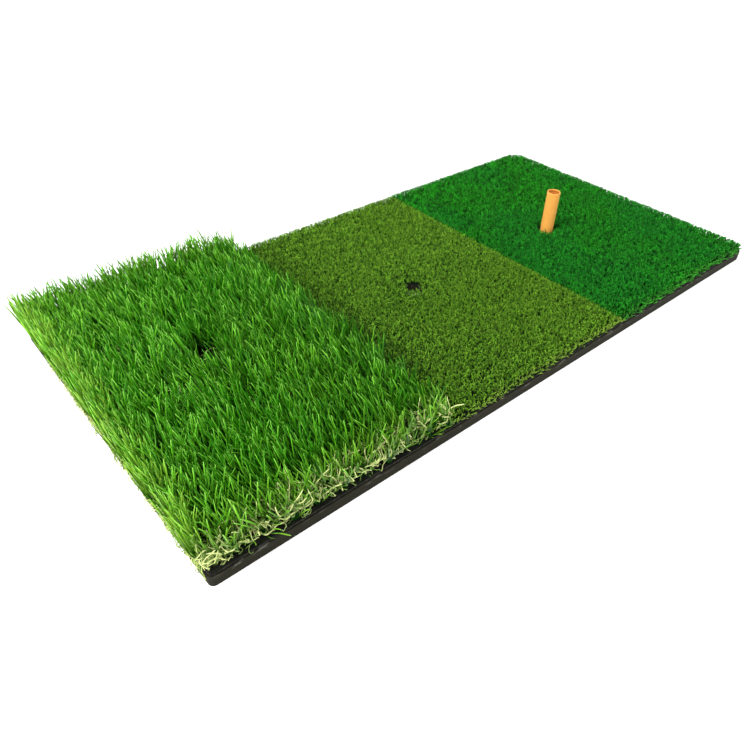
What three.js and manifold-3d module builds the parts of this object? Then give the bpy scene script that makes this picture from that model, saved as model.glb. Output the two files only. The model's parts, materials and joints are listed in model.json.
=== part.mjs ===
// Golf hitting mat: a rubber slab with three turf panels bonded side by side on it (long rough,
// short fairway, dense tee turf), a tee hole through each panel, and a rubber tee in the third.
// Millimetres. +X runs along the long side towards the tee panel, +Y to the back long side, +Z up.
// The origin is the centre of the slab's underside.
import * as THREE from "three";
import { mergeVertices } from "three/addons/utils/BufferGeometryUtils.js";
import Module from "manifold-3d";

const wasm = await Module();
wasm.setup();

// Driving dimensions of the mat
const MAT_LENGTH = 610;
const MAT_WIDTH = 305;
const SEAMS = [-112, 94]; // where the rough meets the fairway, and the fairway the tee turf
const CORNER_RADIUS = 4;

// Layers, from the underside up
const SLAB_THICKNESS = 9;
const ADHESIVE_THICKNESS = 0.4;
const LATEX_THICKNESS = 0.7;
const BACKING_THICKNESS = 0.6;
const LAYER_INSET = 1; // turf is cut a little smaller than the slab
const SEAM_GAP = 0.3; // between two neighbouring panels

// Pile heights above the backing
const THATCH_HEIGHT = 11;
const BLADE_HEIGHT = 31;
const FAIRWAY_PILE = 5.5;
const TEE_TURF_PILE = 6.5;
const PILE_GAP = 0.3; // between the thatch and the blades that grow through it
const BLADE_OVERHANG_X = 5; // blades lean out over the rough end
const BLADE_OVERHANG_Y = 3; // and a little over the back edge

// Tee holes: centres, and radii through the slab, the turf and the flange's recess under it
const ROUGH_HOLE = [-212, 4];
const FAIRWAY_HOLE = [-13, -2];
const TEE_HOLE = [175, -4];
const HOLE_RADIUS = 9;
const PILE_HOLE_RADIUS = 9.5;
const TEE_PARTING_RADIUS = 14; // pile parted round the tee, at the top of the pile
const RECESS_RADIUS = 26;
const RECESS_DEPTH = 4.2;

// Rubber tee
const FLANGE_RADIUS = 24;
const FLANGE_BOTTOM = 0.2;
const FLANGE_TOP = 3.4;
const FLANGE_EDGE = 0.8;
const TEE_RADIUS = 6.5;
const TUBE_TOP = 36.5; // height of the tube's top above the point that it bends about
const TEE_BORE = 4.1;
const FOOT_BORE = 2.6;
const RIM_WIDTH = 0.7;
const RIM_ROUND = 0.5;
const CUP_DEPTH = 3;
const FLEX_HEIGHT = 18.5; // height of the point that the tee bends about, just over the turf
const FLEX_CLEARANCE = 0.3;
const BALL_BELOW = 4.7; // how far the foot's round end reaches below that point
const TUBE_BOTTOM = 3; // height of the tube's lower edge above that point

const CIRCLE_STEPS = 32;
const LATHE_STEPS = 40;
const ARC_STEPS = 8;

const adhesiveTop = SLAB_THICKNESS + ADHESIVE_THICKNESS;
const latexTop = adhesiveTop + LATEX_THICKNESS;
const backingTop = latexTop + BACKING_THICKNESS;
const panelEdges = [-MAT_LENGTH / 2, ...SEAMS, MAT_LENGTH / 2];

const colours = {
  slab: [0x2c2a24, 0.85],
  adhesive: [0x8d8468, 0.6],
  latex: [0x3a3a34, 0.8],
  backing: [0x23241f, 0.95],
  thatch: [0xb9a972, 0.9],
  blades: [0x4c9a24, 0.7],
  fairway: [0x62802a, 0.85],
  teeTurf: [0x1f7a2c, 0.85],
  tee: [0xf0a848, 0.5],
};

function material([color, roughness]) {
  return new THREE.MeshStandardMaterial({ color, roughness, metalness: 0 });
}

function toSolid(geometry) {
  const bare = geometry.clone();
  bare.deleteAttribute("normal");
  bare.deleteAttribute("uv");
  const merged = mergeVertices(bare, 1e-4);
  const vertProperties = new Float32Array(merged.attributes.position.array);
  const triVerts = new Uint32Array(merged.index.array);
  return new wasm.Manifold(new wasm.Mesh({ numProp: 3, vertProperties, triVerts }));
}

function toGeometry(solid) {
  const mesh = solid.getMesh();
  const geometry = new THREE.BufferGeometry();
  geometry.setAttribute("position", new THREE.BufferAttribute(mesh.vertProperties, mesh.numProp));
  geometry.setIndex(new THREE.BufferAttribute(mesh.triVerts, 1));
  geometry.computeVertexNormals();
  return geometry;
}

// A rectangle from low to high, with its four corners' radii given as
// [left front, right front, right back, left back].
function roundedRectangle([x0, y0], [x1, y1], [lf, rf, rb, lb]) {
  const shape = new THREE.Shape();
  shape.moveTo(x0 + lf, y0);
  shape.lineTo(x1 - rf, y0);
  if (rf) shape.absarc(x1 - rf, y0 + rf, rf, -Math.PI / 2, 0);
  shape.lineTo(x1, y1 - rb);
  if (rb) shape.absarc(x1 - rb, y1 - rb, rb, 0, Math.PI / 2);
  shape.lineTo(x0 + lb, y1);
  if (lb) shape.absarc(x0 + lb, y1 - lb, lb, Math.PI / 2, Math.PI);
  shape.lineTo(x0, y0 + lf);
  if (lf) shape.absarc(x0 + lf, y0 + lf, lf, Math.PI, 1.5 * Math.PI);
  return shape;
}

function extrude(shape, bottom, top) {
  const geometry = new THREE.ExtrudeGeometry(shape, {
    depth: top - bottom,
    bevelEnabled: false,
    curveSegments: 6,
  });
  return geometry.translate(0, 0, bottom);
}

// A vertical round bar or cone, used as a cutter.
function cutter([x, y], bottom, top, bottomRadius, topRadius = bottomRadius) {
  const geometry = new THREE.CylinderGeometry(
    topRadius,
    bottomRadius,
    top - bottom,
    CIRCLE_STEPS,
  );
  geometry.rotateX(Math.PI / 2);
  return toSolid(geometry.translate(x, y, (bottom + top) / 2));
}

// Points of an arc in a lathe section, centred on the axis at the given height.
function arcPoints(height, radius, fromAngle, toAngle) {
  return Array.from({ length: ARC_STEPS + 1 }, (_, i) => {
    const angle = fromAngle + ((toAngle - fromAngle) * i) / ARC_STEPS;
    return [radius * Math.cos(angle), height + radius * Math.sin(angle)];
  });
}

// A closed [radius, height] section turned about the vertical axis.
function turned(section) {
  const points = [...section, section[0]].map(([r, z]) => new THREE.Vector2(r, z));
  return new THREE.LatheGeometry(points, LATHE_STEPS).rotateX(Math.PI / 2);
}

// The rubber slab: three through holes, each with a round recess under it for the tee's flange.
function slabGeometry() {
  const [x, y, r] = [MAT_LENGTH / 2, MAT_WIDTH / 2, CORNER_RADIUS];
  let slab = toSolid(extrude(roundedRectangle([-x, -y], [x, y], [r, r, r, r]), 0, SLAB_THICKNESS));
  for (const centre of [ROUGH_HOLE, FAIRWAY_HOLE, TEE_HOLE]) {
    slab = slab.subtract(cutter(centre, -1, SLAB_THICKNESS + 1, HOLE_RADIUS));
    slab = slab.subtract(cutter(centre, -1, RECESS_DEPTH, RECESS_RADIUS));
  }
  return toGeometry(slab);
}

// The plan of one panel's turf, counted from the rough end.
function panelPlan(index, inset = LAYER_INSET) {
  const first = index === 0;
  const last = index === SEAMS.length;
  const left = panelEdges[index] + (first ? inset : SEAM_GAP / 2);
  const right = panelEdges[index + 1] - (last ? inset : SEAM_GAP / 2);
  const y = MAT_WIDTH / 2 - inset;
  return {
    low: [left, -y],
    high: [right, y],
    radii: [first ? CORNER_RADIUS : 0, last ? CORNER_RADIUS : 0,
      last ? CORNER_RADIUS : 0, first ? CORNER_RADIUS : 0],
  };
}

function layerGeometry(plan, bottom, top, hole, bottomRadius, topRadius = bottomRadius) {
  const sheet = toSolid(extrude(roundedRectangle(plan.low, plan.high, plan.radii), bottom, top));
  const slope = (topRadius - bottomRadius) / (top - bottom);
  const punch = cutter(hole, bottom - 1, top + 1, bottomRadius - slope, topRadius + slope);
  return toGeometry(sheet.subtract(punch));
}

// The blades lean, so their block stands out past the rough end and the back edge.
function bladePlan() {
  const plan = panelPlan(0);
  plan.low = [plan.low[0] - LAYER_INSET - BLADE_OVERHANG_X, plan.low[1]];
  plan.high = [plan.high[0], plan.high[1] + LAYER_INSET + BLADE_OVERHANG_Y];
  return plan;
}

// The tee's foot: a flange, a stem up through the hole, and a round end that the tube turns on.
function teeFootGeometry() {
  const low = -Math.asin(BALL_BELOW / TEE_RADIUS);
  const high = Math.acos(FOOT_BORE / TEE_RADIUS);
  const groove = FLEX_HEIGHT - BALL_BELOW;
  return turned([
    [FOOT_BORE, FLANGE_BOTTOM],
    [FLANGE_RADIUS - FLANGE_EDGE, FLANGE_BOTTOM],
    [FLANGE_RADIUS, FLANGE_BOTTOM + FLANGE_EDGE],
    [FLANGE_RADIUS, FLANGE_TOP - FLANGE_EDGE],
    [FLANGE_RADIUS - FLANGE_EDGE, FLANGE_TOP],
    [TEE_RADIUS, FLANGE_TOP],
    [TEE_RADIUS, groove],
    ...arcPoints(FLEX_HEIGHT, TEE_RADIUS, low, high),
  ]);
}

// The tee's tube, with heights from the bending point: a round socket over the foot, an open bore,
// and a ball cup in its top.
function teeTubeGeometry() {
  const socket = TEE_RADIUS + FLEX_CLEARANCE;
  const high = Math.acos(TEE_BORE / socket);
  const low = Math.asin(TUBE_BOTTOM / socket);
  return turned([
    [TEE_RADIUS, TUBE_BOTTOM],
    [TEE_RADIUS, TUBE_TOP - RIM_ROUND],
    [TEE_RADIUS - RIM_ROUND, TUBE_TOP],
    [TEE_RADIUS - RIM_ROUND - RIM_WIDTH, TUBE_TOP],
    [TEE_BORE, TUBE_TOP - CUP_DEPTH],
    ...arcPoints(0, socket, high, low),
  ]);
}

const group = new THREE.Group();

function addPiece(name, geometry, colour) {
  const mesh = new THREE.Mesh(geometry, material(colour));
  mesh.name = name;
  group.add(mesh);
  return mesh;
}

addPiece("base_slab", slabGeometry(), colours.slab);

const panels = [
  { name: "rough", hole: ROUGH_HOLE },
  { name: "fairway", hole: FAIRWAY_HOLE },
  { name: "tee_turf", hole: TEE_HOLE },
];
panels.forEach(({ name, hole }, index) => {
  const layers = [
    ["adhesive", SLAB_THICKNESS, adhesiveTop, colours.adhesive],
    ["latex_coat", adhesiveTop, latexTop, colours.latex],
    ["backing", latexTop, backingTop, colours.backing],
  ];
  for (const [layer, bottom, top, colour] of layers) {
    const sheet = layerGeometry(panelPlan(index), bottom, top, hole, HOLE_RADIUS);
    addPiece(`${name}_${layer}`, sheet, colour);
  }
});

const thatchTop = backingTop + THATCH_HEIGHT;
addPiece(
  "rough_thatch",
  layerGeometry(panelPlan(0), backingTop, thatchTop, ROUGH_HOLE, PILE_HOLE_RADIUS),
  colours.thatch,
);
addPiece(
  "rough_blades",
  layerGeometry(
    bladePlan(),
    thatchTop + PILE_GAP,
    backingTop + BLADE_HEIGHT,
    ROUGH_HOLE,
    PILE_HOLE_RADIUS,
  ),
  colours.blades,
);
addPiece(
  "fairway_pile",
  layerGeometry(
    panelPlan(1),
    backingTop,
    backingTop + FAIRWAY_PILE,
    FAIRWAY_HOLE,
    PILE_HOLE_RADIUS,
  ),
  colours.fairway,
);
addPiece(
  "tee_turf_pile",
  layerGeometry(
    panelPlan(2),
    backingTop,
    backingTop + TEE_TURF_PILE,
    TEE_HOLE,
    PILE_HOLE_RADIUS,
    TEE_PARTING_RADIUS,
  ),
  colours.teeTurf,
);
addPiece("tee_foot", teeFootGeometry(), colours.tee).position.set(...TEE_HOLE, 0);
addPiece("tee_tube", teeTubeGeometry(), colours.tee).position.set(...TEE_HOLE, FLEX_HEIGHT);

export default group;
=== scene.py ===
"""Looks of the golf hitting mat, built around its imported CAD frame. Metres, in the frame's axes."""

import json
import math

import bpy
import numpy as np
from mathutils import Matrix, Vector


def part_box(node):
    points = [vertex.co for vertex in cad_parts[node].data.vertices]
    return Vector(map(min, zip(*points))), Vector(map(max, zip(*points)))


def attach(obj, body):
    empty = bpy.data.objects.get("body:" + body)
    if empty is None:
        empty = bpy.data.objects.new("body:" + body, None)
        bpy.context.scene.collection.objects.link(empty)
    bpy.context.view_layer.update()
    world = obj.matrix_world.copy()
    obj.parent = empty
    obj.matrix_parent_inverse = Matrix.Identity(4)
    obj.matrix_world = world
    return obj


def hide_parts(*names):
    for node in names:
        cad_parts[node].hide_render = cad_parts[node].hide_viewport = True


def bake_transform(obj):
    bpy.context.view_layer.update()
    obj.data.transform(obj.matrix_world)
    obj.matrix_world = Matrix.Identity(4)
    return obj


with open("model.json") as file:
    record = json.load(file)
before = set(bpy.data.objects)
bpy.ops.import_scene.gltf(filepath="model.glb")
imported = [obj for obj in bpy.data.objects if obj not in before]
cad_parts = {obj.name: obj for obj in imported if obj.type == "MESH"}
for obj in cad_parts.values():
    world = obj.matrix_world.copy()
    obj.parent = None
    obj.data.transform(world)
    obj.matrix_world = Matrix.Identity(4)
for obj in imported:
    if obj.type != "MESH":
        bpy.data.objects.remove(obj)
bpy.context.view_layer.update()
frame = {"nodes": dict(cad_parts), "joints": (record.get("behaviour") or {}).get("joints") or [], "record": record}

MM = 0.001
MAT = "mat"


# ---------------------------------------------------------------- places, all from the frame
def hole_centre(name):
    """The middle of a stated opening, seen from above."""
    boxes = frame["record"]["physics"]["openings"]
    low, high = next(b["box_m"] for b in boxes if b["name"] == name)
    return np.array([(low[0] + high[0]) / 2, (low[1] + high[1]) / 2])


slab_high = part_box("base_slab")[1]
tee_low, tee_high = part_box("tee_tube")
foot_low, foot_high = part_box("tee_foot")
backing_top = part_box("rough_backing")[1].z
flex_point = Vector(next(j["pos_m"] for j in frame["joints"] if j["name"] == "tee_flex"))
tee_centre = np.array([flex_point.x, flex_point.y])
rough_hole = hole_centre("rough_tee_hole")
fairway_hole = hole_centre("fairway_tee_hole")


# ---------------------------------------------------------------- camera, light and floor
CAMERA_PLACE = Vector((-0.3761, -0.3717, 0.3381))
CAMERA_AIM = Vector((-0.1095, -0.0640, 0.0))
CAMERA_ROLL = math.radians(1.6)
CAMERA_LENS = 31.93


def make_camera():
    data = bpy.data.cameras.new("camera")
    data.lens = CAMERA_LENS
    data.clip_start = 0.01
    camera = bpy.data.objects.new("camera", data)
    camera.location = CAMERA_PLACE
    turn = (CAMERA_AIM - CAMERA_PLACE).to_track_quat("-Z", "Y").to_matrix()
    camera.rotation_euler = (turn @ Matrix.Rotation(CAMERA_ROLL, 3, "Z")).to_euler()
    bpy.context.scene.collection.objects.link(camera)
    bpy.context.scene.camera = camera


def sun(name, towards, strength, angle):
    """A soft white far light that shines along the direction towards."""
    data = bpy.data.lights.new(name, "SUN")
    data.energy = strength
    data.angle = math.radians(angle)
    light = bpy.data.objects.new(name, data)
    light.rotation_euler = Vector(towards).to_track_quat("-Z", "Y").to_euler()
    bpy.context.scene.collection.objects.link(light)


def make_world(horizon, zenith):
    """White all round: horizon strength low down, falling to zenith strength high up."""
    world = bpy.data.worlds.new("studio")
    world.use_nodes = True
    tree = world.node_tree
    place = tree.nodes.new("ShaderNodeTexCoord")
    split = tree.nodes.new("ShaderNodeSeparateXYZ")
    ramp = tree.nodes.new("ShaderNodeMapRange")
    ends = zip(("From Min", "From Max", "To Min", "To Max"), (0.25, 0.75, horizon, zenith))
    for socket, number in ends:
        ramp.inputs[socket].default_value = number
    background = tree.nodes["Background"]
    background.inputs["Color"].default_value = (1, 1, 1, 1)
    tree.links.new(place.outputs["Generated"], split.inputs["Vector"])
    tree.links.new(split.outputs["Z"], ramp.inputs["Value"])
    tree.links.new(ramp.outputs["Result"], background.inputs["Strength"])
    bpy.context.scene.world = world


# ---------------------------------------------------------------- materials
class Nodes:
    """A material's node tree, with short calls for the nodes that the materials here share."""

    def __init__(self, name, roughness=0.6, specular=0.5):
        self.material = bpy.data.materials.new(name)
        self.material.use_nodes = True
        self.tree = self.material.node_tree
        self.shader = self.tree.nodes["Principled BSDF"]
        self.set("Roughness", roughness)
        self.set("Specular IOR Level", specular)
        self.place = self.tree.nodes.new("ShaderNodeTexCoord").outputs["Object"]

    def set(self, socket, value):
        """A shader input's value, or the output that drives it."""
        if isinstance(value, bpy.types.NodeSocket):
            self.tree.links.new(value, self.shader.inputs[socket])
        elif isinstance(value, tuple):
            self.shader.inputs[socket].default_value = (*value, 1)
        else:
            self.shader.inputs[socket].default_value = value

    def attribute(self, name):
        node = self.tree.nodes.new("ShaderNodeAttribute")
        node.attribute_name = name
        return node.outputs["Fac"]

    def noise(self, scale, detail=3.0, stretch=None):
        node = self.tree.nodes.new("ShaderNodeTexNoise")
        node.inputs["Scale"].default_value = scale
        node.inputs["Detail"].default_value = detail
        vector = self.place
        if stretch:
            mapping = self.tree.nodes.new("ShaderNodeMapping")
            mapping.inputs["Scale"].default_value = stretch
            self.tree.links.new(vector, mapping.inputs["Vector"])
            vector = mapping.outputs["Vector"]
        self.tree.links.new(vector, node.inputs["Vector"])
        return node.outputs["Fac"]

    def spread(self, value, low, high, to_low=0.0, to_high=1.0):
        """value from low..high, stretched to to_low..to_high and held at the ends."""
        node = self.tree.nodes.new("ShaderNodeMapRange")
        self.tree.links.new(value, node.inputs["Value"])
        ends = zip(("From Min", "From Max", "To Min", "To Max"), (low, high, to_low, to_high))
        for socket, number in ends:
            node.inputs[socket].default_value = number
        return node.outputs["Result"]

    def mix(self, share, first, second):
        """A colour between first and second; each is a colour or an output."""
        node = self.tree.nodes.new("ShaderNodeMix")
        node.data_type = "RGBA"
        if isinstance(share, bpy.types.NodeSocket):
            self.tree.links.new(share, node.inputs["Factor"])
        else:
            node.inputs["Factor"].default_value = share
        # of the node's sockets, inputs 6 and 7 and output 2 are the ones for colours
        for socket, value in ((node.inputs[6], first), (node.inputs[7], second)):
            if isinstance(value, bpy.types.NodeSocket):
                self.tree.links.new(value, socket)
            else:
                socket.default_value = (*value, 1)
        return node.outputs[2]

    def coordinate(self, axis):
        """The place along one axis, in metres."""
        node = self.tree.nodes.new("ShaderNodeSeparateXYZ")
        self.tree.links.new(self.place, node.inputs["Vector"])
        return node.outputs[axis]

    def math(self, operation, *values):
        node = self.tree.nodes.new("ShaderNodeMath")
        node.operation = operation
        for socket, value in zip(node.inputs, values):
            self.tree.links.new(value, socket)
        return node.outputs[0]

    def bump(self, height, strength, distance):
        node = self.tree.nodes.new("ShaderNodeBump")
        node.inputs["Strength"].default_value = strength
        node.inputs["Distance"].default_value = distance
        self.tree.links.new(height, node.inputs["Height"])
        self.set("Normal", node.outputs["Normal"])


def yarn_material(name, colours, patch_scale, patch_share, roughness, specular, lit_from):
    """Plastic yarn. colours holds deep (painted shade at the root, down in the pile), body to bright (each fibre
    has its own tone between them), patch (large soft areas), warm (yellower fibres: partly at random, and partly
    painted light along the edges where light falls) and, where it is given, tip (a painted glint at the tips of
    the brighter fibres, which also stands for their paler cut ends). lit_from is where along a fibre the painted
    root shade gives way to its
    own colour: where that starts and where it is full."""
    n = Nodes(name, specular=specular)
    colour = n.mix(n.attribute("tone"), colours["body"], colours["bright"])
    patches = n.spread(n.noise(patch_scale, 2.0), 0.42, 0.6, 0.0, patch_share)
    colour = n.mix(patches, colour, colours["patch"])
    colour = n.mix(n.attribute("warm"), colour, colours["warm"])
    # painted glint: the tips of the brighter fibres are painted paler, for glints on them and for their paler cut
    # ends
    if "tip" in colours:
        brighter = n.spread(n.attribute("tone"), 0.35, 0.7)
        tip_glint_and_cut_end = n.math("MULTIPLY", brighter, n.spread(n.attribute("along"), 0.86, 0.99, 0.0, 0.75))
        colour = n.mix(tip_glint_and_cut_end, colour, colours["tip"])
    # painted shade: towards its root each fibre is painted dark, for the shade down in the pile; the yellower
    # fibres get their body colour there instead
    foot = n.mix(n.attribute("warm"), colours["root_shade"], colours["body"])
    n.set("Base Color", n.mix(n.spread(n.attribute("along"), *lit_from), foot, colour))
    n.set("Roughness", n.spread(n.noise(900.0, 1.0), 0.3, 0.7, roughness - 0.08, roughness + 0.12))
    return n.material


# ---------------------------------------------------------------- fibres
STL_FACES = 190_000  # the most triangles in a piece
RING = 3  # corners of a fibre's section
FOLDED = 0.1  # a fibre whose edges differ by more than this is a folded blade, with a sharp ridge
UP = np.array([0, 0, 1.0])
LYING = 0.4 * MM  # how far above the backing a fibre that lies down stays


def unit(v):
    return v / np.maximum(np.linalg.norm(v, axis=-1, keepdims=True), 1e-12)


def fibre_triangles(steps):
    return RING * 2 * (steps - 1) + 2


def fibre_mesh(name, path, side, half_width, thickness, tone, warm, painted_edge_light):
    """One closed mesh of many fibres. path is (fibres, steps, 3). A fibre's section has three sides:
    two edges along side, and a ridge that stands up by the thickness. Painted light: one edge is painted paler
    than the other by twice the last argument, and the ridge a little paler, as if light fell on one side of each
    blade."""
    count, steps, _ = path.shape
    face = unit(np.cross(unit(np.gradient(path, axis=1)), side))
    wide = side * half_width[..., None]
    ring = np.stack([path - wide, path + wide, path + face * thickness[..., None]], axis=2)
    vertices = ring.reshape(-1, 3)

    first = (np.arange(count) * steps * RING)[:, None, None]
    ring_start = first + (np.arange(steps - 1) * RING)[None, :, None]
    corner = np.arange(RING)[None, None, :]
    after = (corner + 1) % RING
    around = [corner, after, after + RING, corner + RING]
    quads = np.stack([ring_start + step for step in around], axis=-1).reshape(-1, 4)
    root = first[:, 0] + np.array([[2, 1, 0]])
    tip = first[:, 0] + (steps - 1) * RING + np.array([[0, 1, 2]])
    caps = np.concatenate([root, tip])

    mesh = bpy.data.meshes.new(name)
    mesh.vertices.add(len(vertices))
    mesh.vertices.foreach_set("co", vertices.astype(np.float32).ravel())
    loops = np.concatenate([quads.ravel(), caps.ravel()]).astype(np.int32)
    starts = np.concatenate([np.arange(len(quads)) * 4, len(quads) * 4 + np.arange(len(caps)) * 3])
    mesh.loops.add(len(loops))
    mesh.loops.foreach_set("vertex_index", loops)
    mesh.polygons.add(len(starts))
    mesh.polygons.foreach_set("loop_start", starts.astype(np.int32))
    mesh.polygons.foreach_set("use_smooth", np.full(len(starts), painted_edge_light < FOLDED))
    mesh.update(calc_edges=True)

    t = np.linspace(0, 1, steps)
    shape = (count, steps, RING)
    # painted light: one edge of each fibre is painted darker and the other paler, and the ridge a little paler
    edges = painted_edge_light * np.array([-1, 1, 0.4])
    per_vertex = {"along": t[None, :, None], "tone": tone[:, None, None] + edges, "warm": warm[:, None, None]}
    for key, values in per_vertex.items():
        attribute = mesh.attributes.new(key, "FLOAT", "POINT")
        attribute.data.foreach_set("value", np.broadcast_to(values, shape).astype(np.float32).ravel())

    # The unwrap a colour bake uses: a small cell for each fibre, root at its foot and tip at its head.
    columns = math.ceil(math.sqrt(count))
    cell = np.stack([np.arange(count) % columns, np.arange(count) // columns], axis=-1)
    u = np.broadcast_to(cell[:, None, None, 0] + np.array([0.2, 0.8, 0.5]), shape)
    v = np.broadcast_to(cell[:, None, None, 1] + (0.12 + 0.76 * t)[None, :, None], shape)
    places = np.stack([u, v], axis=-1).reshape(-1, 2) / columns
    mesh.uv_layers.new(name="OFBake").data.foreach_set("uv", places[loops].astype(np.float32).ravel())
    return mesh


class Fibres:
    """Fibres of one kind, gathered batch by batch and then made into pieces that ride on the mat."""

    def __init__(self, steps, painted_edge_light=0.0):
        self.steps = steps
        self.painted_edge_light = painted_edge_light
        self.batches = []

    def add(self, path, side, half_width, thickness, tone, warm=0.0):
        count = len(path)
        warm = np.broadcast_to(np.asarray(warm, float), (count,))
        self.batches.append([path, side, half_width, thickness, np.clip(tone, 0, 1), np.clip(warm, 0, 1)])

    def build(self, name, material, nodes):
        """Cuts the fibres into strips along X, so that no piece has too many faces."""
        data = [np.concatenate(part) for part in zip(*self.batches)]
        order = np.argsort(data[0][:, 0, 0], kind="stable")
        parts = math.ceil(len(order) * fibre_triangles(self.steps) / STL_FACES)
        for number, some in enumerate(np.array_split(order, parts), 1):
            label = name if parts == 1 else f"{name}_{number}"
            mesh = fibre_mesh(label, *(values[some] for values in data), self.painted_edge_light)
            mesh.materials.append(material)
            piece = bpy.data.objects.new(label, mesh)
            bpy.context.scene.collection.objects.link(piece)
            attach(piece, MAT)
            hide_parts(*nodes)


def rounded_inside(xy, low, high, radii):
    """Which points lie in a rectangle with rounded corners. radii holds the left front, right front, right
    back and left back one."""
    inside = ((xy > low) & (xy < high)).all(1)
    corners = [(low[0], low[1]), (high[0], low[1]), (high[0], high[1]), (low[0], high[1])]
    inward = [(1, 1), (-1, 1), (-1, -1), (1, -1)]
    for (cx, cy), (sx, sy), r in zip(corners, inward, radii):
        gap = np.stack([(xy[:, 0] - cx) * sx, (xy[:, 1] - cy) * sy], axis=-1)
        inside &= ~((gap < r).all(1) & (np.linalg.norm(gap - r, axis=1) > r))
    return inside


def tuft_grid(rng, low, high, row, stitch, jitter, radii, hole, hole_radius):
    """Roots of tufts in rows along Y, each pushed a little out of place, clear of the hole."""
    columns = np.linspace(low[0], high[0], round((high[0] - low[0]) / row) + 1)
    places = np.linspace(low[1], high[1], round((high[1] - low[1]) / stitch) + 1)
    x, y = np.meshgrid(columns, places)
    y = y + (np.arange(x.shape[1]) % 2)[None, :] * stitch / 2
    xy = np.stack([x.ravel(), y.ravel()], axis=-1) + rng.uniform(-jitter, jitter, (x.size, 2))
    clear = np.linalg.norm(xy - hole, axis=1) > hole_radius
    return xy[rounded_inside(xy, low - jitter, high + jitter, radii) & clear]


def horizontal(angle):
    return np.stack([np.cos(angle), np.sin(angle), np.zeros_like(angle)], axis=-1)


def any_way(rng, count):
    return horizontal(rng.uniform(0, 2 * math.pi, count))


def follow(root, direction, length):
    """Points of a path from root that follows the given directions, evenly spaced along its length."""
    steps = direction.shape[1]
    stride = (length / (steps - 1))[:, None, None] * unit(direction)
    return np.concatenate([root[:, None], root[:, None] + np.cumsum(stride[:, :-1], axis=1)], axis=1)


def across(path, turn, bend):
    """The flat side of each fibre: at right angles to its path and to bend, then turned about the path."""
    tangent = unit(np.gradient(path, axis=1))
    first = unit(np.cross(tangent, bend[:, None]))
    second = np.cross(tangent, first)
    return first * np.cos(turn)[..., None] + second * np.sin(turn)[..., None]


def on_backing(xy):
    return np.column_stack([xy, np.full(len(xy), backing_top)])


def keep_above(path, floor):
    path[..., 2] = np.maximum(path[..., 2], floor)
    return path


def turned_back(path, axis, limit):
    """A path that would pass the limit along an axis folds back from it."""
    path[..., axis] = limit + np.abs(path[..., axis] - limit)
    return path


def held_back(path, axis, limit, share):
    """Moves the part of each path that lies below the limit along an axis a share of the way back to it."""
    path[..., axis] -= share * np.minimum(path[..., axis] - limit, 0)
    return path


def panel_box(node):
    low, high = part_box(node)
    return np.array(low[:2]), np.array(high[:2])


def nearness(values, edge, reach):
    """1 at the edge, falling to 0 at reach from it."""
    return np.clip(1 - np.abs(values - edge) / reach, 0, 1)


# ---------------------------------------------------------------- rough: long blades
ROUGH_LOW, ROUGH_HIGH = panel_box("rough_backing")
ROUGH_ROW = 9.2 * MM
ROUGH_STITCH = 7.2 * MM
ROUGH_CORNERS = [3 * MM] * 4
ROUGH_GAP = np.array([12.5, 17.5]) * MM  # half sizes of the bare oval round the tee hole
HOLE_PARTING = 22 * MM  # up to here the blades lean away from the tee hole
LEFT_OVERHANG = 4 * MM  # how far past the left end the blades may reach before they are held back
HELD_SHARE = 0.6
BLADES_PER_TUFT = 14
BLADE_LENGTH = (25 * MM, 37 * MM)
BLADE_HALF_WIDTH = (0.42 * MM, 0.76 * MM)
BLADE_STEPS = 7
BLADE_SHAPE = ([0, 0.2, 0.75, 1], [0.65, 1, 0.95, 0.4])  # places along a blade, and its width there
# small spots where tufts are missing: the middle of each, and its radius
THIN_SPOTS = [((-0.247, -0.018), 0.007), ((-0.155, -0.060), 0.005), ((-0.265, 0.060), 0.004)]
SEAM_STRIP = 12 * MM  # beside the fairway the blades are a little shorter


def clear_of_gap(xy):
    """The tufts round the rough's tee hole are missing, in an oval that is longer from front to back."""
    return np.linalg.norm((xy - rough_hole) / ROUGH_GAP, axis=1) > 1


def rough_lean(xy):
    """How the long blades lean, as run per rise: back and to the left, less at the front and at the seam."""
    left = nearness(xy[:, 0], ROUGH_LOW[0], 40 * MM)
    front = nearness(xy[:, 1], ROUGH_LOW[1], 30 * MM)
    seam = nearness(xy[:, 0], ROUGH_HIGH[0], 40 * MM)
    back = nearness(xy[:, 1], ROUGH_HIGH[1], 40 * MM)
    lean_x = -0.20 + 0.12 * left - 0.12 * seam + 0.08 * back
    lean_y = 0.34 - 0.22 * front + 0.10 * left - 0.22 * back
    away = xy - rough_hole
    part = np.clip(1 - np.linalg.norm(away, axis=1) / HOLE_PARTING, 0, 1)[:, None]
    return np.column_stack([lean_x, lean_y]) + 0.5 * part * unit(away)


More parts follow.
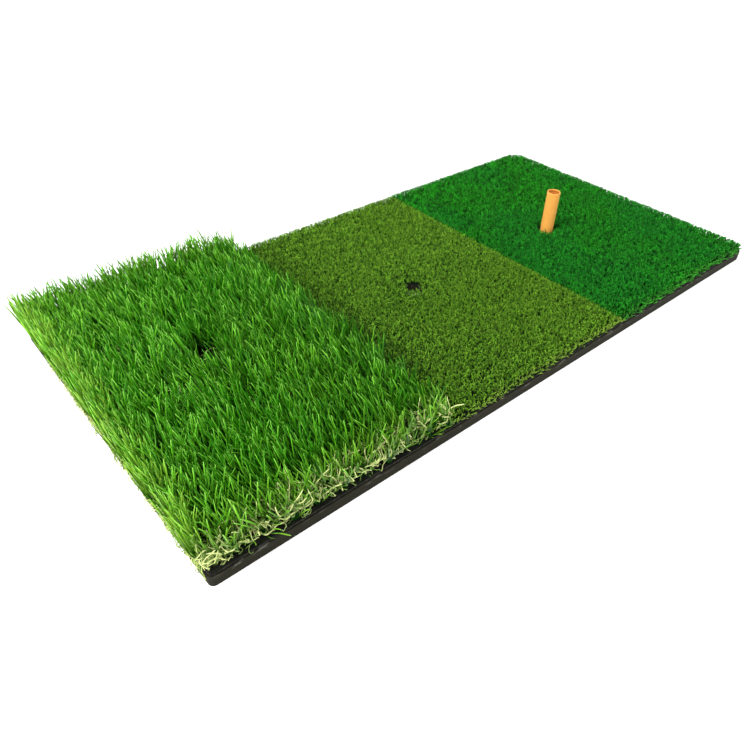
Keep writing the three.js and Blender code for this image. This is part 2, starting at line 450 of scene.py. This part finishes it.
def blades(rng, fibres, xy, *, per_tuft, length, lean, spread, half_width, tone, warm):
    """Folded tapering blades that rise from each tuft, fan out, and bend over with the lean. Those that reach
    past the left end are held back."""
    owner = np.repeat(np.arange(len(xy)), per_tuft)
    count = len(owner)
    fan = any_way(rng, count)
    root = on_backing(xy[owner]) + fan * rng.uniform(0.1, 1.3, (count, 1)) * MM
    t = np.linspace(0, 1, BLADE_STEPS)[None, :, None]
    leaning = np.column_stack([lean[owner], np.zeros(count)])[:, None]
    fanned = fan[:, None] * rng.uniform(*spread, (count, 1, 1))
    sway = any_way(rng, count)[:, None] * rng.uniform(0, 0.85, (count, 1, 1))
    direction = UP + leaning * (0.5 + 1.0 * t) + fanned * (1.2 - 0.3 * t) + sway * t**1.5
    path = follow(root, direction, rng.uniform(*length, count))
    path = held_back(path, 0, ROUGH_LOW[0] - LEFT_OVERHANG, HELD_SHARE)
    turn = rng.normal(0, 0.5, count)[:, None] * np.linspace(0.4, 1.4, BLADE_STEPS)
    side = across(path, turn, unit(leaning[:, 0] + 0.5 * fan + 0.01))
    half = rng.uniform(*half_width, count)[:, None] * np.interp(t[0, :, 0], *BLADE_SHAPE)
    fibres.add(path, side, half, half * 0.4, tone[owner] + rng.uniform(-0.6, 0.6, count), warm[owner])


def rough_painted_light(xy):
    """Painted light and shade: the blades are painted palest at the back left, where the light falls on them, and
    darkest at the front right.
    """
    across_panel, along_panel = ((xy - ROUGH_LOW) / (ROUGH_HIGH - ROUGH_LOW)).T
    return 0.59 - 0.55 * np.clip(0.6 * across_panel + 0.55 * (1 - along_panel), 0, 1)


def make_rough_blades():
    rng = np.random.default_rng(11)
    low = ROUGH_LOW + np.array([2.0, 3.6]) * MM
    high = ROUGH_HIGH - 1.6 * MM
    xy = tuft_grid(
        rng, low, high, ROUGH_ROW, ROUGH_STITCH, jitter=1.4 * MM, radii=ROUGH_CORNERS,
        hole=rough_hole, hole_radius=9.5 * MM,
    )
    xy = xy[clear_of_gap(xy)]
    for centre, radius in THIN_SPOTS:
        xy = xy[np.linalg.norm(xy - np.array(centre), axis=1) > radius]
    lean = rough_lean(xy) + rng.normal(0, 0.15, xy.shape)
    # the tone starts from the panel's painted light and shade, with a random part on top
    tone = rough_painted_light(xy) + rng.normal(0, 0.12, len(xy))
    near_left = nearness(xy[:, 0], ROUGH_LOW[0], 12 * MM)
    near_back = nearness(xy[:, 1], ROUGH_HIGH[1], 25 * MM)
    near_front = nearness(xy[:, 1], ROUGH_LOW[1], 16 * MM)
    # painted light: the front row is painted paler, and the blades along the left end, the back and the front are
    # painted yellower, where light falls on the panel's edges
    tone += 0.15 * near_front
    warm = 0.75 * near_left + 0.3 * near_back**1.5 + 0.42 * near_front
    # the blades' edges get painted light: one side paler than the other
    fibres = Fibres(BLADE_STEPS, painted_edge_light=0.38)
    at_seam = xy[:, 0] > high[0] - SEAM_STRIP
    for some, length, spread in (
        (~at_seam, BLADE_LENGTH, (0.04, 0.44)),
        (at_seam, (23 * MM, 32 * MM), (0.04, 0.32)),
    ):
        blades(
            rng, fibres, xy[some], per_tuft=BLADES_PER_TUFT, length=length, lean=lean[some],
            spread=spread, half_width=BLADE_HALF_WIDTH, tone=tone[some], warm=warm[some],
        )
    # a second, denser row along the back and the left end, which closes the outline
    rim = xy[(xy[:, 1] > high[1] - 7 * MM) | (xy[:, 0] < low[0] + 5 * MM)]
    rim_lean = rough_lean(rim) + rng.normal(0, 0.09, rim.shape)
    blades(
        rng, fibres, rim, per_tuft=12, length=(24 * MM, 36 * MM), lean=rim_lean,
        spread=(0.04, 0.25), half_width=BLADE_HALF_WIDTH, tone=np.full(len(rim), 0.5),
        warm=rng.uniform(0.0, 0.55, len(rim)),
    )
    # thinner blades that splay in the front row
    front = xy[xy[:, 1] < low[1] + 11 * MM]
    front_lean = np.array([-0.1, -0.05]) + rng.normal(0, 0.4, front.shape)
    blades(
        rng, fibres, front, per_tuft=11, length=(12 * MM, 27 * MM), lean=front_lean,
        spread=(0.1, 0.65), half_width=(0.28 * MM, 0.52 * MM), tone=np.full(len(front), 0.55),
        warm=rng.uniform(0.2, 0.75, len(front)),
    )
    # pale stalks that stand close along the left end
    left_end = xy[xy[:, 0] < low[0] + 5 * MM]
    left_lean = np.array([-0.40, 0.42]) + rng.normal(0, 0.07, left_end.shape)
    blades(
        rng, fibres, left_end, per_tuft=14, length=(9 * MM, 21 * MM), lean=left_lean,
        spread=(0.02, 0.2), half_width=(0.35 * MM, 0.6 * MM), tone=np.full(len(left_end), 0.6),
        warm=rng.uniform(0.7, 1.0, len(left_end)),
    )
    colours = {
        # painted shade at the roots
        "root_shade": (0.001, 0.014, 0.0004),
        "body": (0.007, 0.115, 0.001),
        "bright": (0.21, 0.72, 0.024),
        "patch": (0.03, 0.31, 0.002),
        "warm": (0.33, 0.57, 0.045),
        # the tip colour is a painted glint at the blades' tips, and their paler cut ends
        "tip": (0.37, 0.80, 0.13),
    }
    material = yarn_material(
        "rough_blade", colours, patch_scale=9.0, patch_share=0.35, roughness=0.36, specular=0.22,
        lit_from=(0.3, 0.92),
    )
    fibres.build("rough_blades", material, ["rough_blades"])


# ---------------------------------------------------------------- rough: curled thatch
THATCH_STEPS = 13
THATCH_HALF_WIDTH = 0.3 * MM
FRONT_CURL_HALF_WIDTH = 0.45 * MM
FRONT_CURLS = 370
LEFT_CURLS = 700
LEFT_END_BARE = 45 * MM  # how much of the left end, at the back, has no curls
LEFT_CURLS_THICKEN = 45 * MM  # the stretch after it over which they grow to their full number
GAP_CURLS = (rough_hole - np.array([5, 3]) * MM, 0.013)  # the middle and radius of those at the tee hole


def curls(rng, fibres, xy, *, length, rise, curl, tone, warm=0.0, push=(0, 0), sag=0.0,
          half_width=THATCH_HALF_WIDTH, floor=backing_top + LYING):
    """Crimped yarn: the heading turns steadily about an axis that itself drifts, which gives loops and kinks.
    A greater rise makes it more upright, push drives it sideways and sag pulls it down. Curls that reach the
    front or the left end turn back there."""
    count = len(xy)
    root = on_backing(xy)
    heading = unit(any_way(rng, count) * 0.8 + UP * rise + np.array([*push, 0.0]))
    axis = unit(rng.normal(0, 1, (count, 3)))
    headings = [heading]
    for _ in range(THATCH_STEPS - 1):
        axis = unit(axis + rng.normal(0, 0.4, axis.shape))
        turned = heading + np.cross(axis, heading) * curl[:, None] + np.array([*push, 0.0]) * 0.15
        heading = unit(turned + UP * (0.06 * rise - sag))
        headings.append(heading)
    path = keep_above(follow(root, np.stack(headings, axis=1), length), floor)
    path = turned_back(path, 1, ROUGH_LOW[1] - rng.uniform(0.2, 2.2, (count, 1)) * MM)
    path = turned_back(path, 0, ROUGH_LOW[0] - rng.uniform(1.5, 4.5, (count, 1)) * MM)
    side = across(path, np.zeros((count, THATCH_STEPS)), unit(rng.normal(0, 1, (count, 3))))
    half = np.full((count, THATCH_STEPS), half_width)
    half[:, -1] *= 0.5
    fibres.add(path, side, half, half * 1.2, tone, warm)


def two_kinds(rng, count, pale_share):
    """Tones of curls of which a share is pale cream, and the others olive."""
    pale = rng.uniform(0, 1, count) < pale_share
    return np.where(pale, rng.uniform(0.7, 1.0, count), rng.uniform(0.0, 0.4, count))


def row_ends(rng, count, start, end, depth):
    """Roots bunched at the ends of the tuft rows, along a line from start to end and up to depth to its
    left."""
    start, end = np.array(start), np.array(end)
    along = unit(end - start)
    inward = np.array([-along[1], along[0]])
    rows = round(np.linalg.norm(end - start) / ROUGH_ROW)
    row = rng.integers(0, rows + 1, count) / rows
    t = np.clip(row + rng.normal(0, 0.24 / rows, count), 0, 1)[:, None]
    return start + (end - start) * t + inward * rng.uniform(0, 1, (count, 1)) ** 1.3 * depth


def make_rough_thatch():
    rng = np.random.default_rng(23)
    inset = 1.2 * MM
    low, high = ROUGH_LOW + inset, ROUGH_HIGH - inset
    fibres = Fibres(THATCH_STEPS)

    # two curls near each tuft, all over the panel
    xy = tuft_grid(
        rng, low, high, ROUGH_ROW, ROUGH_STITCH, jitter=2 * MM, radii=ROUGH_CORNERS,
        hole=rough_hole, hole_radius=10 * MM,
    )
    xy = np.repeat(xy, 2, axis=0) + rng.uniform(-3, 3, (len(xy) * 2, 2)) * MM
    xy = xy[rounded_inside(xy, low, high, ROUGH_CORNERS) & clear_of_gap(xy)]
    count = len(xy)
    curls(
        rng, fibres, xy, length=rng.uniform(12, 22, count) * MM, rise=1.0,
        curl=rng.uniform(0.3, 0.8, count), tone=rng.beta(1.1, 2.2, count) * 0.8,
    )

    # thick upright curls along the front edge
    count = FRONT_CURLS
    front_line = low[1] + 2.2 * MM
    front = row_ends(rng, count, (low[0], front_line), (high[0], front_line), 10 * MM)
    curls(
        rng, fibres, front, length=rng.uniform(17, 30, count) * MM, rise=2.6,
        curl=rng.uniform(0.22, 0.55, count), tone=two_kinds(rng, count, 0.55),
        half_width=FRONT_CURL_HALF_WIDTH,
    )

    # short low curls that reach out along the left end
    count = LEFT_CURLS
    left_start = (low[0], high[1] - LEFT_END_BARE)
    left_end = (low[0], low[1] + 7 * MM)
    left = row_ends(rng, count, left_start, left_end, 3 * MM)
    left = left[rng.uniform(0, 1, count) < (left_start[1] - left[:, 1]) / LEFT_CURLS_THICKEN]
    count = len(left)
    curls(
        rng, fibres, left, length=rng.uniform(9, 18, count) * MM, rise=0.4,
        curl=rng.uniform(0.2, 0.6, count), tone=two_kinds(rng, count, 0.6),
        warm=rng.uniform(0.0, 0.7, count), push=(-0.6, 0.1), sag=0.3, floor=4 * MM,
    )

    # curls that show where blades are missing
    for centre, radius in [GAP_CURLS, *THIN_SPOTS]:
        count = int(10 + 5000 * radius)
        xy = np.array(centre) + any_way(rng, count)[:, :2] * radius * rng.uniform(0.6, 1.1, (count, 1))
        xy = xy[np.linalg.norm(xy - rough_hole, axis=1) > 10 * MM]
        curls(
            rng, fibres, xy, length=rng.uniform(14, 26, len(xy)) * MM, rise=1.6,
            curl=rng.uniform(0.2, 0.7, len(xy)), tone=rng.beta(1.6, 1.2, len(xy)),
        )

    n = Nodes("thatch_curl", specular=0.2)
    colour = n.mix(n.attribute("tone"), (0.06, 0.20, 0.006), (0.82, 0.88, 0.36))
    colour = n.mix(n.attribute("warm"), colour, (0.36, 0.55, 0.07))
    # painted shade: the curls are painted dark at their roots, down in the pile
    n.set("Base Color", n.mix(n.spread(n.attribute("along"), 0.0, 0.15), (0.05, 0.10, 0.008), colour))
    n.set("Roughness", n.spread(n.noise(900.0, 1.0), 0.3, 0.7, 0.45, 0.65))
    fibres.build("rough_thatch", n.material, ["rough_thatch"])


# ---------------------------------------------------------------- fairway and tee turf: short curled pile
SHORT_STEPS = 5
SHORT_PER_TUFT = 3
CLOSE_STITCH = 1.1 * MM
SHORT_SHAPE = ([0, 0.3, 0.8, 1], [0.8, 1, 0.95, 0.5])  # places along a fibre, and its width there


def edge_rows(rng, xy, low, high, inset, radii):
    """The tufts of xy, with close rows along the back and the right edge, which give them a firm outline."""
    for axis in (0, 1):
        along_row = np.arange(low[axis] + inset, high[axis] - inset, CLOSE_STITCH)
        row = np.empty((len(along_row), 2))
        row[:, axis] = along_row
        row[:, 1 - axis] = high[1 - axis] - rng.uniform(0.2, 2.4, len(along_row)) * MM
        xy = np.concatenate([xy, row[rounded_inside(row, low, high, radii)]])
    return xy


def short_turf(panel, seed, material, *, row, stitch, length, half_width, radii, outer, contrast, shaded,
               hole, hole_radius, hole_lean, shorter):
    """Each tuft is a small upright bundle whose fibres curl at the top. The rows at an outer edge splay out:
    outer holds how much at the left, front, right and back. The rows at the hole lean by hole_lean away from
    it, and are shorter there by a share of shorter. contrast is how much the tufts differ in tone, and shaded
    how much darker the strip beside the panel on the left is painted: a painted shadow of the rough's long blades."""
    rng = np.random.default_rng(seed)
    low, high = panel_box(f"{panel}_backing")
    inset = 0.6 * MM
    xy = tuft_grid(rng, low + inset, high - inset, row, stitch, row * 0.25, radii, hole, hole_radius)
    xy = edge_rows(rng, xy, low, high, inset, radii)
    tufts = len(xy)
    at_edge = np.maximum(nearness(xy[:, 0], high[0], 5 * MM), nearness(xy[:, 1], high[1], 5 * MM))
    lean = rng.normal(0, 0.13, (tufts, 2))
    sides = [(0, low[0], -1), (1, low[1], -1), (0, high[0], 1), (1, high[1], 1)]
    for strength, (axis, edge, sign) in zip(outer, sides):
        splay = strength * nearness(xy[:, axis], edge, 4 * MM) * rng.uniform(0.3, 1.3, tufts)
        lean[:, axis] += sign * splay
    away = xy - hole
    reach = np.linalg.norm(away, axis=1) - hole_radius
    at_hole = np.clip(1 - reach / (3 * MM), 0, 1)
    lean += unit(away) * (at_hole * hole_lean)[:, None]

    # each fibre rises, and then curls over its own way
    owner = np.repeat(np.arange(tufts), SHORT_PER_TUFT)
    count = len(owner)
    root = on_backing(xy[owner]) + any_way(rng, count) * rng.uniform(0, 0.32, (count, 1)) * row
    t = np.linspace(0, 1, SHORT_STEPS)
    way = rng.uniform(0, 2 * math.pi, count)[:, None] + rng.normal(0, 0.7, count)[:, None] * t
    bend = rng.uniform(0.5, 2.4, count)[:, None] * np.clip(t * 1.6 - 0.6, 0, 1)
    angle = rng.uniform(-0.1, 0.3, count)[:, None] + bend
    direction = horizontal(way) * np.sin(angle)[..., None] + UP * np.cos(angle)[..., None]
    direction = direction + np.column_stack([lean[owner], np.zeros(count)])[:, None]
    uneven = 1 + rng.uniform(-0.18, 0.16, tufts) * (1 - 0.5 * at_edge)
    tuft_length = uneven * (1 - 0.1 * at_edge - shorter * at_hole)
    size = rng.uniform(*length, count) * tuft_length[owner]
    path = keep_above(follow(root, direction, size), backing_top + LYING)
    side = across(path, np.zeros((count, SHORT_STEPS)), unit(rng.normal(0, 1, (count, 3))))
    half = rng.uniform(0.8, 1.2, count)[:, None] * half_width * np.interp(t, *SHORT_SHAPE)
    # the speckle is strongest at the back
    speckle = contrast * (0.5 + 1.2 * nearness(xy[:, 1], high[1], 130 * MM))
    # painted shadow: the strip beside the rough is painted darker, for the shadow of its long blades, less so
    # towards the front
    clear_of_front = np.clip((xy[:, 1] - low[1]) / (90 * MM), 0, 1)
    shade = shaded * nearness(xy[:, 0], low[0], 38 * MM) * clear_of_front
    tuft_tone = (rng.beta(0.6, 0.8, tufts) - 0.43) * speckle - shade
    tone = tuft_tone[owner] + rng.uniform(-0.08, 0.88, count)
    # painted light: the fibres at the front edge are painted yellower, where light falls on the edge, over a
    # little random yellowing
    warm = nearness(xy[:, 1], low[1], 5 * MM) * 0.4 + rng.uniform(0, 0.12, tufts)
    fibres = Fibres(SHORT_STEPS)
    fibres.add(path, side, half, half * 0.9, tone, warm[owner])
    fibres.build(f"{panel}_pile", material, [f"{panel}_pile"])


def make_fairway():
    colours = {
        # painted shade at the roots
        "root_shade": (0.002, 0.010, 0.0004),
        "body": (0.011, 0.088, 0.0018),
        "bright": (0.30, 0.70, 0.042),
        "patch": (0.12, 0.32, 0.012),
        "warm": (0.48, 0.62, 0.1),
    }
    material = yarn_material(
        "fairway_curl", colours, patch_scale=8.0, patch_share=0.3, roughness=0.55, specular=0.1,
        lit_from=(0.3, 0.95),
    )
    short_turf(
        "fairway",
        31,
        material,
        row=2.0 * MM,
        stitch=1.9 * MM,
        length=(5.4 * MM, 7.2 * MM),
        half_width=0.29 * MM,
        radii=[0, 0, 0, 0],
        outer=(0, 0.8, 0, 0.3),
        contrast=0.95,
        shaded=0.65,
        hole=fairway_hole,
        hole_radius=8.8 * MM,
        hole_lean=-0.35,
        shorter=0.0,
    )


def make_tee_turf():
    colours = {
        # painted shade at the roots
        "root_shade": (0.0003, 0.007, 0.0006),
        "body": (0.0006, 0.050, 0.002),
        "bright": (0.034, 0.56, 0.022),
        "patch": (0.0006, 0.21, 0.035),
        "warm": (0.12, 0.5, 0.05),
    }
    material = yarn_material(
        "tee_turf_curl", colours, patch_scale=10.0, patch_share=0.25, roughness=0.5, specular=0.08,
        lit_from=(0.3, 0.95),
    )
    short_turf(
        "tee_turf",
        47,
        material,
        row=2.1 * MM,
        stitch=2.0 * MM,
        length=(6.3 * MM, 8.1 * MM),
        half_width=0.33 * MM,
        radii=[0, 5 * MM, 13 * MM, 0],
        outer=(0, 0.9, 0.35, 0.3),
        contrast=1.15,
        shaded=0.0,
        hole=tee_centre,
        hole_radius=9.6 * MM,
        hole_lean=0.2,
        shorter=0.55,
    )


# ---------------------------------------------------------------- slab, layers and tee
def make_slab_look():
    n = Nodes("slab_rubber", specular=0.08)
    grain = n.noise(700.0, 4.0)
    scuff = n.spread(n.noise(60.0, 5.0, (1, 1, 6)), 0.55, 0.75)
    colour = n.mix(n.spread(grain, 0.3, 0.7), (0.011, 0.0105, 0.006), (0.021, 0.020, 0.0115))
    colour = n.mix(scuff, colour, (0.032, 0.031, 0.019))
    # smears of glue along the upper edge
    smear = n.spread(n.noise(110.0, 4.0, (1, 1, 4)), 0.57, 0.64)
    upper = n.spread(n.coordinate("Z"), slab_high.z - 3.5 * MM, slab_high.z - 1.5 * MM)
    n.set("Base Color", n.mix(n.math("MULTIPLY", smear, upper), colour, (0.09, 0.088, 0.074)))
    n.set("Roughness", n.spread(grain, 0.3, 0.7, 0.62, 0.85))
    n.bump(grain, 0.25, 0.2 * MM)
    slab = frame["nodes"]["base_slab"]
    slab.data.materials[0] = n.material
    bevel = slab.modifiers.new("edge", "BEVEL")
    bevel.width = 0.4 * MM
    bevel.segments = 2
    bevel.limit_method = "ANGLE"


def make_layer_looks():
    looks = {
        "adhesive": ((0.012, 0.011, 0.008), (0.09, 0.085, 0.065), 0.5),
        "latex_coat": ((0.008, 0.008, 0.006), (0.06, 0.058, 0.046), 0.6),
        "backing": ((0.005, 0.006, 0.004), (0.02, 0.024, 0.014), 0.8),
    }
    for layer, (dark, light, roughness) in looks.items():
        n = Nodes(layer, specular=0.25)
        weave = n.noise(330.0, 3.0, (1, 3, 1) if layer == "backing" else None)
        n.set("Base Color", n.mix(n.spread(weave, 0.5, 0.68), dark, light))
        n.set("Roughness", n.spread(weave, 0.3, 0.7, roughness, roughness + 0.15))
        n.bump(weave, 0.4, 0.25 * MM)
        for panel in ("rough", "fairway", "tee_turf"):
            frame["nodes"][f"{panel}_{layer}"].data.materials[0] = n.material


def filleted(corners, arc_steps=5):
    """Points of a closed [radius, height] section, with each corner [r, z, fillet] rounded by its fillet."""
    points = []
    for i, (r, z, fillet) in enumerate(corners):
        here = np.array([r, z])
        before = unit(np.array(corners[i - 1][:2]) - here)
        after = unit(np.array(corners[(i + 1) % len(corners)][:2]) - here)
        if fillet == 0:
            points.append(here)
            continue
        half = math.acos(np.clip(before @ after, -1, 1)) / 2
        reach = fillet / math.tan(half)
        start, end = here + before * reach, here + after * reach
        for step in np.linspace(0, 1, arc_steps):
            points.append((1 - step) ** 2 * start + 2 * step * (1 - step) * here + step**2 * end)
    return np.array(points)


def divided(points, longest):
    """The closed section again, with no stretch longer than longest."""
    made = []
    for here, there in zip(points, np.roll(points, -1, axis=0)):
        parts = max(1, math.ceil(np.linalg.norm(there - here) / longest))
        made.extend(here + (there - here) * step for step in np.linspace(0, 1, parts, endpoint=False))
    return np.array(made)


def turned_mesh(name, section, centre, segments):
    """A closed [radius, height] section turned about a vertical axis through centre."""
    angle = np.arange(segments) * 2 * math.pi / segments
    rows = len(section)
    ring = np.stack([np.cos(angle), np.sin(angle)], axis=-1)
    vertices = np.empty((segments, rows, 3))
    vertices[..., :2] = centre + ring[:, None] * section[None, :, :1]
    vertices[..., 2] = section[:, 1]
    faces = []
    for s in range(segments):
        for r in range(rows):
            here, there = s * rows, (s + 1) % segments * rows
            faces.append((here + r, there + r, there + (r + 1) % rows, here + (r + 1) % rows))
    mesh = bpy.data.meshes.new(name)
    mesh.from_pydata(vertices.reshape(-1, 3).tolist(), [], faces)
    mesh.polygons.foreach_set("use_smooth", np.ones(len(faces), bool))
    mesh.update()
    return mesh


TEE_SEGMENTS = 48


def make_tee():
    """The rubber tee as the one moulding it is: flange, stem, tube and ball cup."""
    flange = (foot_high.x - foot_low.x) / 2
    stem = (tee_high.x - tee_low.x) / 2
    bottom, top = foot_low.z, tee_high.z
    flange_top = bottom + 3.2 * MM
    bore = 4.1 * MM
    foot_bore = 2.6 * MM
    rim = 5.7 * MM
    cup = 3.2 * MM
    corners = [
        (foot_bore, bottom, 0.3 * MM),
        (flange, bottom, 0.8 * MM),
        (flange, flange_top, 0.8 * MM),
        (stem, flange_top, 1.2 * MM),
        (stem, top, 0.5 * MM),
        (rim, top, 0.2 * MM),
        (rim - 0.4 * MM, top - cup + 0.4 * MM, 0.3 * MM),
        (bore, top - cup, 0.3 * MM),
        (bore, bottom + 12 * MM, 1 * MM),
        (foot_bore, bottom + 8 * MM, 1 * MM),
    ]
    section = divided(filleted(corners), 1.5 * MM)
    mesh = turned_mesh("rubber_tee", section, tee_centre, TEE_SEGMENTS)
    # painted shade: the cup and the bore are painted darker than the outside, for the shade down in them
    inside = (section[:, 0] < rim + 0.1 * MM) & (section[:, 1] < top - 0.6 * MM)
    attribute = mesh.attributes.new("inside", "FLOAT", "POINT")
    attribute.data.foreach_set("value", np.tile(inside, TEE_SEGMENTS).astype(float))
    n = Nodes("tee_rubber", specular=0.3)
    cloud = n.noise(90.0, 3.0)
    grain = n.noise(1800.0, 2.0)
    colour = n.mix(n.spread(cloud, 0.3, 0.7), (0.88, 0.385, 0.068), (0.95, 0.445, 0.095))
    n.set("Base Color", n.mix(n.attribute("inside"), colour, (0.42, 0.13, 0.016)))
    n.set("Roughness", n.spread(grain, 0.3, 0.7, 0.45, 0.58))
    n.bump(grain, 0.15, 0.1 * MM)
    mesh.materials.append(n.material)
    tee = bpy.data.objects.new("rubber_tee", mesh)
    bpy.context.scene.collection.objects.link(tee)
    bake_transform(tee)
    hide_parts("tee_foot", "tee_tube")


FLOOR_GLOW = 0.45
FLOOR_HALF_SIZE = 12.0


def make_floor():
    """A pale floor that glows a little, so that the shadow on it stays faint. It doesn't glow under the
    mat."""
    mesh = bpy.data.meshes.new("floor")
    far = FLOOR_HALF_SIZE
    corners = [(-far, -far, 0), (far, -far, 0), (far, far, 0), (-far, far, 0)]
    mesh.from_pydata(corners, [], [(0, 1, 2, 3)])
    n = Nodes("floor_paint", roughness=0.9, specular=0.1)
    n.set("Base Color", n.mix(n.noise(3.0), (0.9, 0.9, 0.9), (0.92, 0.92, 0.92)))
    outside = [
        n.spread(n.math("ABSOLUTE", n.coordinate(axis)), half_size - 2 * MM, half_size - 1 * MM)
        for axis, half_size in (("X", slab_high.x), ("Y", slab_high.y))
    ]
    n.set("Emission Color", (1.0, 1.0, 1.0))
    n.set("Emission Strength", n.spread(n.math("MAXIMUM", *outside), 0.0, 1.0, 0.0, FLOOR_GLOW))
    mesh.materials.append(n.material)
    floor = bpy.data.objects.new("floor", mesh)
    bpy.context.scene.collection.objects.link(floor)


make_camera()
make_world(horizon=1.0, zenith=0.5)
sun("key", towards=(0.75, -0.15, -1.0), strength=3.1, angle=18)
sun("fill", towards=(0.3, 0.8, -1.0), strength=1.0, angle=60)
bpy.context.scene.view_settings.view_transform = "Standard"
make_floor()
make_slab_look()
make_layer_looks()
make_tee()
make_rough_blades()
make_rough_thatch()
make_fairway()
make_tee_turf()
